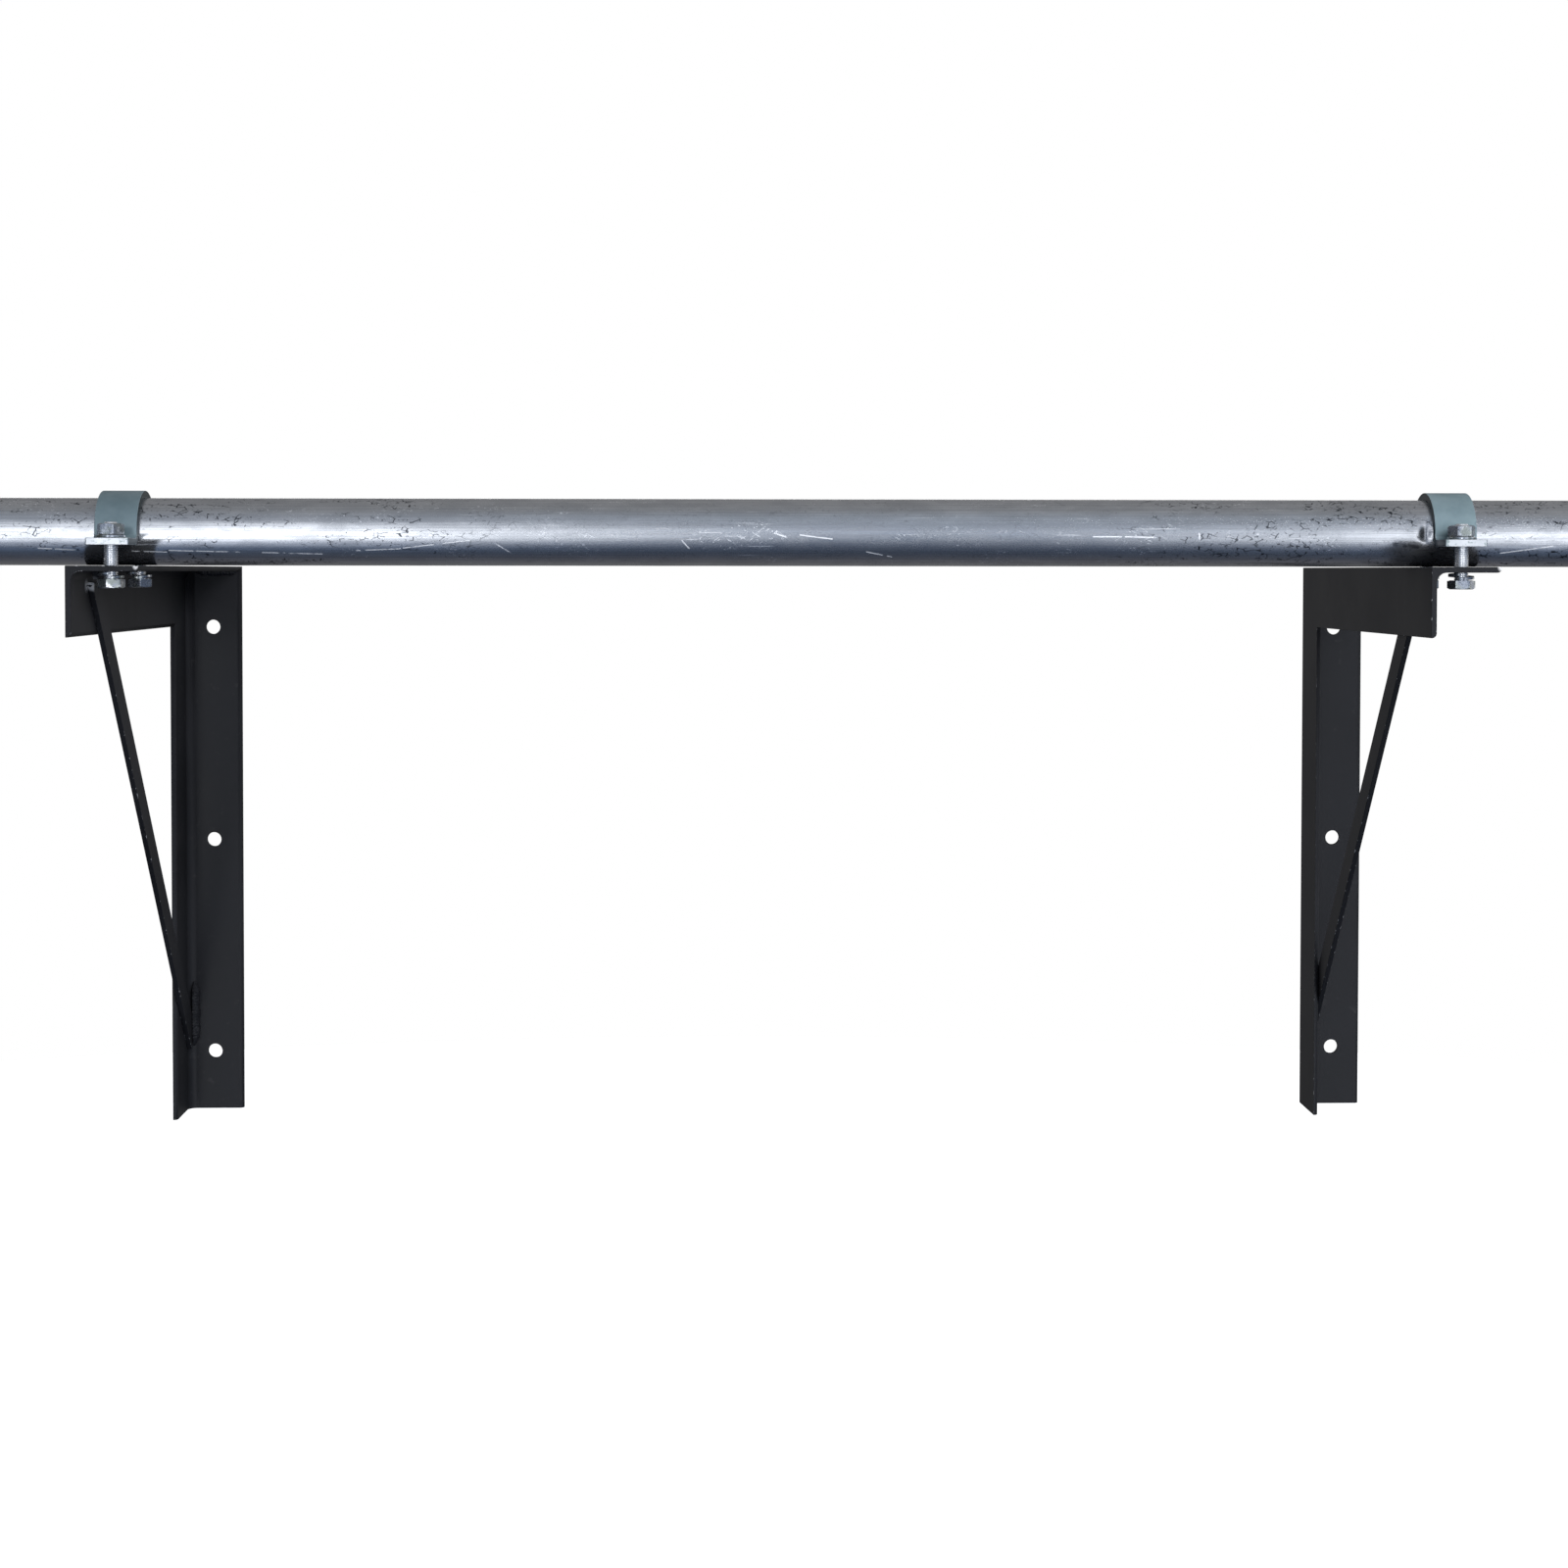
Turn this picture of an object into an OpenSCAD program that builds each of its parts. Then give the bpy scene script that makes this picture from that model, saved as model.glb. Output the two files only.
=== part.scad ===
// Wall-mounted pull up bar: a steel tube clamped on two identical angle-iron brackets.
// Millimetres. +X runs along the bar, +Z is up, and the wall is the plane y = 0 behind the object.
// The origin is the centre of the wall-hole pattern, on the wall.

/* [Bar] */
// Outside diameter of the bar
bar_od = 48.3; // [42:0.1:50]
// Wall thickness of the bar
bar_wall = 3.2; // [2:0.1:5]
// Length of the bar
bar_length = 1200; // [1150:10:1500]
// Distance from the wall to the bar's axis
bar_reach = 317; // [290:1:318]

/* [Brackets] */
// Distance between the two brackets, hole line to hole line
bracket_spacing = 953; // [700:1:1000]
// Leg width of the angle iron
angle_leg = 50; // [48:1:60]
// Thickness of the angle iron
angle_t = 4; // [3:0.5:5]
// Radius in the root of the angle iron
root_r = 7; // [5:0.5:8]
// Height of the upright
upright_height = 460; // [450:5:600]
// Length of the arm from the wall
arm_length = 380; // [375:1:400]

/* [Wall holes] */
// Diameter of the wall holes
wall_hole_d = 12; // [8:0.5:14]
// Distance between wall holes up the upright
wall_hole_pitch = 180; // [150:5:180]
// Distance from the arm's top face down to the first wall hole
wall_hole_drop = 51; // [45:1:60]
// Distance from the heel of the upright to its hole line
wall_hole_gauge = 26; // [24:0.5:30]

/* [Brace] */
// Width of the flat bar
brace_width = 20; // [16:1:25]
// Thickness of the flat bar
brace_t = 4; // [3:0.5:5]
// Where the brace's front edge would reach the arm's top face, measured from the wall
brace_reach = 346; // [330:1:350]
// Where the brace's front edge would reach the wall, measured down from the arm's top face
brace_drop = 423; // [400:1:425]

/* [Clamps] */
// Width of the strap
strap_width = 30; // [28:1:34]
// Thickness of the strap
strap_t = 5; // [4:0.5:5]
// Height of the ears' underside over the arm
ear_gap = 14.5; // [13.5:0.5:15]
// Distance between the two bolts of a clamp
clamp_pitch = 85; // [85:0.5:88]
// Length of an ear beyond its bolt
ear_margin = 12.5; // [11:0.5:14]
// Distance from the heel of the arm to the clamp bolts
clamp_gauge = 27; // [26:0.5:28]

/* [Fasteners] */
// Nominal diameter of the bolts
bolt_d = 10; // [10:1:10]
// Length of a bolt under its head
bolt_length = 40; // [40:1:45]
// Size of the hexagons across their flats
hex_af = 17; // [16:1:17]
// Height of a bolt head
head_h = 6.4; // [6:0.1:7]
// Height of a nut
nut_h = 8; // [7:0.5:9]
// Open height of a spring washer
spring_h = 5.4; // [4.4:0.1:5.5]
// Thickness of a flat washer
washer_t = 2; // [1.6:0.1:2.5]

/* [Hidden] */
$fn = 64;

// Side and end selectors: the left bracket is at -X, and the front bolt is the one away from the wall.
left = -1;
right = 1;
front = -1;
back = 1;

eps = 0.01;
seat_gap = 0.25;                                  // running gap between the bar and what holds it
toe_r = angle_t - 0.5;
arm_z = wall_hole_drop + wall_hole_pitch;         // height of the arm's top face
bar_r = bar_od / 2;
bar_z = arm_z + seat_gap + bar_r;
strap_ri = bar_r + seat_gap;                      // inner radius of the strap
strap_ro = strap_ri + strap_t;
bend_r = 3;                                       // radius in the crook of an ear
strap_corner_r = 1;                               // radius on the corners of an ear
ear_end = clamp_pitch / 2 + ear_margin;
clamp_hole_d = bolt_d + 1;
thread_r = bolt_d / 2 - 0.05;                     // crest radius of the bolt's thread
nut_z = ear_gap + strap_t + washer_t + 0.05;      // underside of a nut over the arm, free to turn
brace_angle = atan(brace_reach / brace_drop);     // lean of the brace from the vertical
end_clear = angle_t + root_r + 1;                 // the brace stops short of the root radius
foot_low = brace_drop - end_clear / tan(brace_angle);  // how far below the arm's top the foot ends
bead_r = 6;                                       // radius of the brace's weld beads
bead_sink = 4.5;                                  // depth of a bead's centre in front of the leg it joins

// How far each piece is turned about its bolt: left front, left back, right front, right back.
head_turns = [23, 47, 50, 12];
nut_turns = [54, 8, 58, 31];
split_turns = [285, 250, 253, 290];

steel_black = [0.11, 0.11, 0.12];
weld_black = [0.14, 0.14, 0.15];
galvanised = [0.62, 0.65, 0.69];
zinc_blue = [0.40, 0.50, 0.53];
zinc_bright = [0.72, 0.74, 0.76];
plug_black = [0.06, 0.06, 0.07];

// Puts children at a bracket: heel at x = 0, wall at y = 0, top face of the arm at z = 0.
module at_bracket(side) {
    translate([side * bracket_spacing / 2 - wall_hole_gauge, 0, arm_z]) children();
}

// Puts children on the axis of one clamp bolt, with z = 0 at the arm's top face.
module at_bolt(side, place) {
    at_bracket(side) translate([clamp_gauge, place * clamp_pitch / 2 - bar_reach, 0]) children();
}

// Section of the angle iron: heel at the origin, legs along +X and +Y, rolled root and toes.
module angle_section() {
    difference() {
        union() {
            square([angle_leg, angle_t]);
            square([angle_t, angle_leg]);
            square(angle_t + root_r);
        }
        translate([angle_t + root_r, angle_t + root_r]) circle(r = root_r);
        toe_cut();
        mirror([1, -1]) toe_cut();
    }
}

// What the mill's rounding takes off the inner corner of a leg.
module toe_cut() {
    translate([angle_leg - toe_r, angle_t - toe_r]) difference() {
        square(toe_r + 1);
        circle(r = toe_r);
    }
}

// Half-space below the mitre plane between upright and arm, or above it.
module mitre_side(below) {
    size = 3 * angle_leg;
    translate([-size / 2, 0, 0]) rotate([45, 0, 0])
        translate([0, -size, below ? -size : 0]) cube([size, 2 * size, size]);
}

module upright(side) {
    color(steel_black) at_bracket(side) difference() {
        translate([0, 0, -upright_height]) mirror([0, 1, 0])
            linear_extrude(upright_height) angle_section();
        mitre_side(below = false);
        for (i = [0:2])
            translate([wall_hole_gauge, 0, -wall_hole_drop - i * wall_hole_pitch])
                rotate([90, 0, 0]) cylinder(d = wall_hole_d, h = 3 * angle_t, center = true);
    }
}

module arm(side) {
    color(steel_black) difference() {
        at_bracket(side) difference() {
            rotate([90, 0, 0]) mirror([0, 1, 0]) linear_extrude(arm_length) angle_section();
            mitre_side(below = true);
        }
        for (place = [front, back])
            at_bolt(side, place) cylinder(d = clamp_hole_d, h = 3 * angle_t, center = true);
    }
}

// Flat bar on edge against the inner faces of the webs, cut level at the top and plumb at the foot.
module brace(side) {
    long = 4 * upright_height;
    color(steel_black) at_bracket(side) intersection() {
        translate([angle_t, -brace_reach, 0]) rotate([brace_angle, 0, 0])
            translate([0, 0, -long / 2]) cube([brace_t, brace_width, long]);
        translate([0, -arm_length, -upright_height])
            cube([angle_leg, arm_length - end_clear, upright_height - end_clear]);
    }
}

// Bead across the inside corner between the wall leg and the arm's top leg.
module corner_weld(side) {
    leg = 4;
    start = angle_t + root_r;
    color(weld_black) at_bracket(side) intersection() {
        translate([start, -angle_t, -angle_t]) rotate([0, 90, 0])
            cylinder(r = leg, h = angle_leg - start - toe_r);
        translate([0, -angle_t - leg, -angle_t - leg]) cube([angle_leg, leg, leg]);
    }
}

// Bead that ties the brace's top end to the arm's web and top leg.
module brace_top_weld(side) {
    end_run = brace_width / cos(brace_angle);
    slope_run = end_clear * tan(brace_angle);
    color(weld_black) at_bracket(side) intersection() {
        translate([angle_t + brace_t, -brace_reach + slope_run, -angle_t - bead_sink]) rotate([-90, 0, 0])
            cylinder(r = bead_r, h = end_run);
        translate([angle_t, -arm_length, -angle_t - 2 * bead_r]) cube([angle_leg, arm_length, 2 * bead_r]);
    }
}

// Bead down the brace's foot, between the brace and the upright's wall leg.
module brace_foot_weld(side) {
    bead_length = 54;
    bead_low = foot_low - 2;
    color(weld_black) at_bracket(side) intersection() {
        translate([angle_t + brace_t, -angle_t - bead_sink, -bead_low]) cylinder(r = bead_r, h = bead_length);
        translate([angle_t, -angle_t - 2 * bead_r, -upright_height])
            cube([angle_leg, 2 * bead_r, upright_height]);
    }
}

module bar_tube() {
    color(galvanised) translate([-bar_length / 2, -bar_reach, bar_z]) rotate([0, 90, 0]) difference() {
        cylinder(r = bar_r, h = bar_length);
        translate([0, 0, -1]) cylinder(r = bar_r - bar_wall, h = bar_length + 2);
    }
}

// Push-in cap in a tube end: a thin rim outside and a hollow ribbed stem inside.
module end_plug(side) {
    rim_t = 3;
    rim_r = bar_r - 0.3;
    stem_r = bar_r - bar_wall - 0.15;
    stem_length = 22;
    stem_wall = 2.5;
    color(plug_black) translate([side * bar_length / 2, -bar_reach, bar_z]) rotate([0, side * 90, 0])
        difference() {
            union() {
                cylinder(r = rim_r - 1, h = rim_t);
                cylinder(r = rim_r, h = rim_t - 1);
                translate([0, 0, -stem_length]) cylinder(r = stem_r - 0.6, h = stem_length + eps);
                for (i = [0:2])
                    translate([0, 0, -5 - 7 * i]) cylinder(r = stem_r, h = 2);
            }
            translate([0, 0, -stem_length - 1]) cylinder(r = stem_r - 0.6 - stem_wall, h = stem_length + 1);
        }
}

// Half of the strap's side profile, to +X, with the bar's centre at the origin.
module strap_half_section(ear_z) {
    bend = [strap_ro + bend_r, ear_z + strap_t + bend_r];
    difference() {
        union() {
            intersection() {
                circle(r = strap_ro, $fn = 96);
                square(strap_ro);
            }
            translate([0, bend.y]) square([strap_ro, -bend.y]);
        }
        circle(r = strap_ri, $fn = 96);
        translate([-1, -bar_od]) square([strap_ri + 1, bar_od]);
    }
    intersection() {
        translate(bend) difference() {
            circle(r = bend_r + strap_t);
            circle(r = bend_r);
        }
        translate([strap_ri, ear_z]) square([bend_r + strap_t, bend_r + strap_t]);
    }
    translate([bend.x, ear_z]) square([ear_end - bend.x, strap_t]);
}

// Outline of the strap from above, with rounded corners.
module strap_plan() {
    x = strap_width / 2 - strap_corner_r;
    y = ear_end - strap_corner_r;
    square([2 * x, 2 * ear_end], center = true);
    square([strap_width, 2 * y], center = true);
    for (i = [-1, 1]) for (j = [-1, 1])
        translate([i * x, j * y]) circle(r = strap_corner_r);
}

module strap(side) {
    ear_z = ear_gap - seat_gap - bar_r;
    color(zinc_blue) difference() {
        at_bracket(side) translate([clamp_gauge, -bar_reach, bar_z - arm_z]) intersection() {
            rotate([90, 0, 90]) linear_extrude(strap_width, center = true) {
                strap_half_section(ear_z);
                mirror([1, 0]) strap_half_section(ear_z);
            }
            linear_extrude(4 * bar_r, center = true) strap_plan();
        }
        for (place = [front, back])
            at_bolt(side, place) cylinder(d = clamp_hole_d, h = bar_od);
    }
}

// Hexagonal block with its corners turned off at both ends, as wide flat to flat as hex_af.
module hex_block(height, flat_end) {
    corner_r = hex_af / 2 / cos(30);
    drop = (corner_r - hex_af / 2) * tan(30);
    intersection() {
        linear_extrude(height) circle(r = corner_r, $fn = 6);
        rotate_extrude() polygon([
            [0, 0], [hex_af / 2, 0], [corner_r, flat_end ? 0 : drop], [corner_r, height - drop],
            [hex_af / 2, height], [0, height]]);
    }
}

// Hexagon bolt, head down, its shank up through the arm and the ear. A chamfer ends the thread.
module clamp_bolt(side, place, turn) {
    chamfer = 1.2;
    under_head = -angle_t - spring_h;
    color(zinc_bright) at_bolt(side, place) translate([0, 0, under_head]) {
        rotate([0, 180, turn]) hex_block(head_h, flat_end = true);
        cylinder(r = thread_r, h = bolt_length - chamfer);
        translate([0, 0, bolt_length - chamfer - eps])
            cylinder(r1 = thread_r, r2 = thread_r - chamfer, h = chamfer + eps);
    }
}

// Split spring washer under the arm: a square-cut coil of one open turn.
module spring_washer(side, place, turn) {
    inner_r = bolt_d / 2 + 0.2;
    outer_r = 9;
    section_h = 2.2;
    rise = spring_h - section_h - 0.1;
    steps = 48;
    sweep = 348;
    section = [[inner_r, 0], [outer_r, 0], [outer_r, section_h], [inner_r, section_h]];
    points = [for (i = [0:steps]) for (p = section)
        let (a = sweep * i / steps)
        [p.x * cos(a), p.x * sin(a), p.y + rise * i / steps]];
    walls = [for (i = [0:steps - 1]) for (k = [0:3])
        let (a = 4 * i + k, b = 4 * i + (k + 1) % 4)
        each [[a, b, b + 4], [a, b + 4, a + 4]]];
    end_face = [for (k = [0:3]) 4 * steps + k];
    color(zinc_bright) at_bolt(side, place) translate([0, 0, -angle_t - spring_h + 0.05]) rotate(turn)
        polyhedron(points, concat(walls, [[3, 2, 1, 0]], [end_face]));
}

module flat_washer(side, place) {
    color(zinc_bright) at_bolt(side, place) translate([0, 0, ear_gap + strap_t]) difference() {
        cylinder(d = 2 * bolt_d, h = washer_t);
        translate([0, 0, -1]) cylinder(d = bolt_d + 0.5, h = washer_t + 2);
    }
}

module nut(side, place, turn) {
    countersink = 0.6;
    bore_r = bolt_d / 2;
    color(zinc_bright) at_bolt(side, place) translate([0, 0, nut_z]) difference() {
        rotate(turn) hex_block(nut_h, flat_end = false);
        translate([0, 0, -1]) cylinder(r = bore_r, h = nut_h + 2);
        translate([0, 0, -eps]) cylinder(r1 = bore_r + countersink, r2 = bore_r, h = countersink);
        translate([0, 0, nut_h - countersink + eps])
            cylinder(r1 = bore_r, r2 = bore_r + countersink, h = countersink);
    }
}

upright(left);  // upright_left
upright(right);  // upright_right
arm(left);  // arm_left
arm(right);  // arm_right
brace(left);  // brace_left
brace(right);  // brace_right
corner_weld(left);  // corner_weld_left
corner_weld(right);  // corner_weld_right
brace_top_weld(left);  // brace_top_weld_left
brace_top_weld(right);  // brace_top_weld_right
brace_foot_weld(left);  // brace_foot_weld_left
brace_foot_weld(right);  // brace_foot_weld_right
bar_tube();
end_plug(left);  // end_plug_left
end_plug(right);  // end_plug_right
strap(left);  // strap_left
strap(right);  // strap_right
clamp_bolt(left, front, head_turns[0]);  // clamp_bolt_left_front
clamp_bolt(left, back, head_turns[1]);  // clamp_bolt_left_back
clamp_bolt(right, front, head_turns[2]);  // clamp_bolt_right_front
clamp_bolt(right, back, head_turns[3]);  // clamp_bolt_right_back
spring_washer(left, front, split_turns[0]);  // spring_washer_left_front
spring_washer(left, back, split_turns[1]);  // spring_washer_left_back
spring_washer(right, front, split_turns[2]);  // spring_washer_right_front
spring_washer(right, back, split_turns[3]);  // spring_washer_right_back
flat_washer(left, front);  // flat_washer_left_front
flat_washer(left, back);  // flat_washer_left_back
flat_washer(right, front);  // flat_washer_right_front
flat_washer(right, back);  // flat_washer_right_back
nut(left, front, nut_turns[0]);  // nut_left_front
nut(left, back, nut_turns[1]);  // nut_left_back
nut(right, front, nut_turns[2]);  // nut_right_front
nut(right, back, nut_turns[3]);  // nut_right_back
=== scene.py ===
"""Looks for the wall-mounted pull up bar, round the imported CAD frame. Metres, +Z up, wall at y = 0."""

import math

import bmesh
import bpy
from mathutils import Matrix, Vector, noise


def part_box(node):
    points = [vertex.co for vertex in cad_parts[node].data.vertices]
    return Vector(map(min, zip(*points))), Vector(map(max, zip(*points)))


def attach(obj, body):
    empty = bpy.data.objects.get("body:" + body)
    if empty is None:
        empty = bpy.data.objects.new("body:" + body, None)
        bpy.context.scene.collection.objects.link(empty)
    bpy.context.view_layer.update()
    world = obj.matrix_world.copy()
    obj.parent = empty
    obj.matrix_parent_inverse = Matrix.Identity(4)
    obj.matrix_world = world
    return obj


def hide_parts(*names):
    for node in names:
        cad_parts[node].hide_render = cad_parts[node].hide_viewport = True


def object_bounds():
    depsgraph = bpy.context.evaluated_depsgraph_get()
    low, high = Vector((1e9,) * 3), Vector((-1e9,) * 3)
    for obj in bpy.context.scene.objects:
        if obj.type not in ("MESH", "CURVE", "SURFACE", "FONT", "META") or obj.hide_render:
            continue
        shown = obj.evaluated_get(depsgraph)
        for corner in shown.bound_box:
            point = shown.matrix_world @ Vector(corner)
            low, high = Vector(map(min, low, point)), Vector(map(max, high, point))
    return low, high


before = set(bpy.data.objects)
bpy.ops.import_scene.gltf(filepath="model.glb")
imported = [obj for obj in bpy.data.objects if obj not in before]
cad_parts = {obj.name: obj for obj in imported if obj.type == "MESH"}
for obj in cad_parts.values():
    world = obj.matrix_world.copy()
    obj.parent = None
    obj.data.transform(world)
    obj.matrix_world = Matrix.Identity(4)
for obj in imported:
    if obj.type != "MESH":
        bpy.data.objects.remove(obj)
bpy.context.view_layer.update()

MM = 0.001
SIDES = ("left", "right")
PLACES = ("front", "back")


# ---------------------------------------------------------------- meshes

def new_piece(name, bm, body, material, replaced, sharp_deg=35):
    """Makes an object of bm, shaded smooth up to sharp_deg, riding on body in place of the CAD nodes."""
    bmesh.ops.recalc_face_normals(bm, faces=bm.faces)
    mesh = bpy.data.meshes.new(name)
    bm.to_mesh(mesh)
    bm.free()
    mesh.polygons.foreach_set("use_smooth", [True] * len(mesh.polygons))
    mesh.set_sharp_from_angle(angle=math.radians(sharp_deg))
    obj = bpy.data.objects.new(name, mesh)
    bpy.context.scene.collection.objects.link(obj)
    mesh.materials.append(material)
    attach(obj, body)
    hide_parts(*replaced)
    return obj


def grid_faces(bm, rings, closed=True):
    """Skins a list of equally long vertex rings with quads."""
    for low, high in zip(rings, rings[1:]):
        count = len(low)
        for i in range(count if closed else count - 1):
            j = (i + 1) % count
            bm.faces.new((low[i], low[j], high[j], high[i]))


def arc(cx, cy, radius, start_deg, end_deg, steps):
    """Points on an arc, both ends included."""
    angles = [math.radians(start_deg + (end_deg - start_deg) * i / steps) for i in range(steps + 1)]
    return [(cx + radius * math.cos(a), cy + radius * math.sin(a)) for a in angles]


def lathe(bm, profile, segments, place=Matrix.Identity(4)):
    """Turns a closed (radius, height) profile about Z into a ring-shaped solid."""
    rings = []
    for i in range(segments):
        a = 2 * math.pi * i / segments
        across, up = math.cos(a), math.sin(a)
        rings.append([bm.verts.new(place @ Vector((r * across, r * up, z))) for r, z in profile])
    grid_faces(bm, rings + rings[:1])


def finished_copy(node, name, body, material, bevel, skip=lambda edge: False):
    """A copy of a CAD node with its true edges rounded off. Edges that skip() accepts stay sharp."""
    merge_distance = 0.002 * MM
    flat = math.radians(0.5)
    rounded_above = math.radians(40)
    bm = bmesh.new()
    bm.from_mesh(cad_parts[node].data)
    bmesh.ops.remove_doubles(bm, verts=bm.verts, dist=merge_distance)
    bmesh.ops.dissolve_limit(bm, angle_limit=flat, verts=bm.verts, edges=bm.edges)
    edge_layer = bm.faces.layers.float.new("edge")
    sharp = [e for e in bm.edges if len(e.link_faces) == 2
             and e.calc_face_angle(0) > rounded_above and not skip(e)]
    made = bmesh.ops.bevel(bm, geom=sharp, offset=bevel, segments=3, profile=0.5,
                           affect="EDGES", clamp_overlap=True)
    for face in made["faces"]:
        face[edge_layer] = 1.0
    obj = new_piece(name, bm, body, material, [node])
    normals = obj.modifiers.new("even normals", "WEIGHTED_NORMAL")
    normals.keep_sharp = True
    normals.weight = 80
    return obj


# ---------------------------------------------------------------- materials

class Nodes:
    """Short forms for building a node tree."""

    def __init__(self, tree, coords):
        self.tree = tree
        self.coords = tree.nodes.new("ShaderNodeTexCoord").outputs[coords]

    def link(self, source, target):
        """Joins an output to an input."""
        self.tree.links.new(source, target)

    def stretched(self, scale, slant=0.0):
        """Object coordinates turned by slant degrees about Y, then scaled along each axis."""
        node = self.tree.nodes.new("ShaderNodeMapping")
        node.vector_type = "TEXTURE"
        node.inputs["Scale"].default_value = [1 / factor for factor in scale]
        node.inputs["Rotation"].default_value = (0.0, math.radians(slant), 0.0)
        self.link(self.coords, node.inputs["Vector"])
        return node.outputs["Vector"]

    def axes(self):
        """The coordinates one by one, as X, Y and Z."""
        node = self.tree.nodes.new("ShaderNodeSeparateXYZ")
        self.link(self.coords, node.inputs[0])
        return node.outputs

    def vector(self, operation, a, b=None, scale=None, output="Vector"):
        """Vector arithmetic. A Vector is set on its socket, and an output is linked to it."""
        node = self.tree.nodes.new("ShaderNodeVectorMath")
        node.operation = operation
        for value, socket in ((a, node.inputs[0]), (b, node.inputs[1]), (scale, node.inputs[3])):
            if isinstance(value, Vector):
                socket.default_value = value
            elif value is not None:
                self.link(value, socket)
        return node.outputs[output]

    def near(self, point, radius):
        """1 within half of radius of a point on the object, and 0 beyond radius."""
        return self.ramp(self.vector("DISTANCE", self.coords, point, output="Value"), radius, radius / 2)

    def scratch(self, start, end, width):
        """1 along a straight scratch between two points on the object."""
        run = end - start
        offset = self.vector("SUBTRACT", self.coords, start)
        share = self.vector("DOT_PRODUCT", offset, run / run.length_squared, output="Value")
        share = self.math("MINIMUM", self.math("MAXIMUM", share, 0.0), 1.0)
        foot = self.vector("SCALE", run, scale=share)
        return self.ramp(self.vector("DISTANCE", offset, foot, output="Value"), width * 0.75, width * 0.35)

    def most(self, values):
        """The largest of several values."""
        best = values[0]
        for value in values[1:]:
            best = self.math("MAXIMUM", best, value)
        return best

    def noise(self, scale, stretch=None, detail=2.0, rough=0.5, distort=0.0, seed=0.0, slant=0.0):
        """Noise with features about 1/scale metres across."""
        node = self.tree.nodes.new("ShaderNodeTexNoise")
        node.noise_dimensions = "4D"
        node.inputs["W"].default_value = seed
        node.inputs["Scale"].default_value = scale
        node.inputs["Detail"].default_value = detail
        node.inputs["Roughness"].default_value = rough
        node.inputs["Distortion"].default_value = distort
        self.link(self.stretched(stretch, slant) if stretch else self.coords, node.inputs["Vector"])
        return node.outputs["Fac"]

    def cell_edges(self, stretch):
        """Distance to the nearest edge in a net of cells about 1/stretch metres across."""
        node = self.tree.nodes.new("ShaderNodeTexVoronoi")
        node.feature = "DISTANCE_TO_EDGE"
        node.inputs["Scale"].default_value = 1.0
        self.link(self.stretched(stretch), node.inputs["Vector"])
        return node.outputs["Distance"]

    def ramp(self, fac, low, high, out_low=0.0, out_high=1.0):
        """Maps low..high on to out_low..out_high with a smooth step."""
        node = self.tree.nodes.new("ShaderNodeMapRange")
        node.interpolation_type = "SMOOTHSTEP"
        limits = {"From Min": low, "From Max": high, "To Min": out_low, "To Max": out_high}
        for socket, value in limits.items():
            node.inputs[socket].default_value = value
        self.link(fac, node.inputs["Value"])
        return node.outputs["Result"]

    def math(self, operation, a, b):
        """Arithmetic on two values, each a number or an output."""
        node = self.tree.nodes.new("ShaderNodeMath")
        node.operation = operation
        for value, socket in ((a, node.inputs[0]), (b, node.inputs[1])):
            if isinstance(value, (int, float)):
                socket.default_value = value
            else:
                self.link(value, socket)
        return node.outputs[0]

    def mix(self, fac, a, b):
        """Colour a where fac is 0, and b where it is 1."""
        node = self.tree.nodes.new("ShaderNodeMix")
        node.data_type = "RGBA"
        self.link(fac, node.inputs["Factor"])
        for value, socket in ((a, node.inputs[6]), (b, node.inputs[7])):
            if isinstance(value, tuple):
                socket.default_value = (*value, 1.0)
            else:
                self.link(value, socket)
        return node.outputs[2]

    def attribute(self, name):
        """A face attribute of the mesh, by name."""
        node = self.tree.nodes.new("ShaderNodeAttribute")
        node.attribute_name = name
        return node.outputs["Fac"]

    def bump(self, height, distance, strength, under=None):
        """Relief from a height, on top of the relief given as under."""
        node = self.tree.nodes.new("ShaderNodeBump")
        node.inputs["Distance"].default_value = distance
        node.inputs["Strength"].default_value = strength
        self.link(height, node.inputs["Height"])
        if under is not None:
            self.link(under, node.inputs["Normal"])
        return node.outputs["Normal"]


class Surface(Nodes):
    """The node tree of a new material."""

    def __init__(self, name):
        self.material = bpy.data.materials.new(name)
        self.material.use_nodes = True
        super().__init__(self.material.node_tree, "Object")
        self.shader = self.tree.nodes["Principled BSDF"]

    def set(self, socket, value):
        """Sets a constant on the shader."""
        self.shader.inputs[socket].default_value = value


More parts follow.
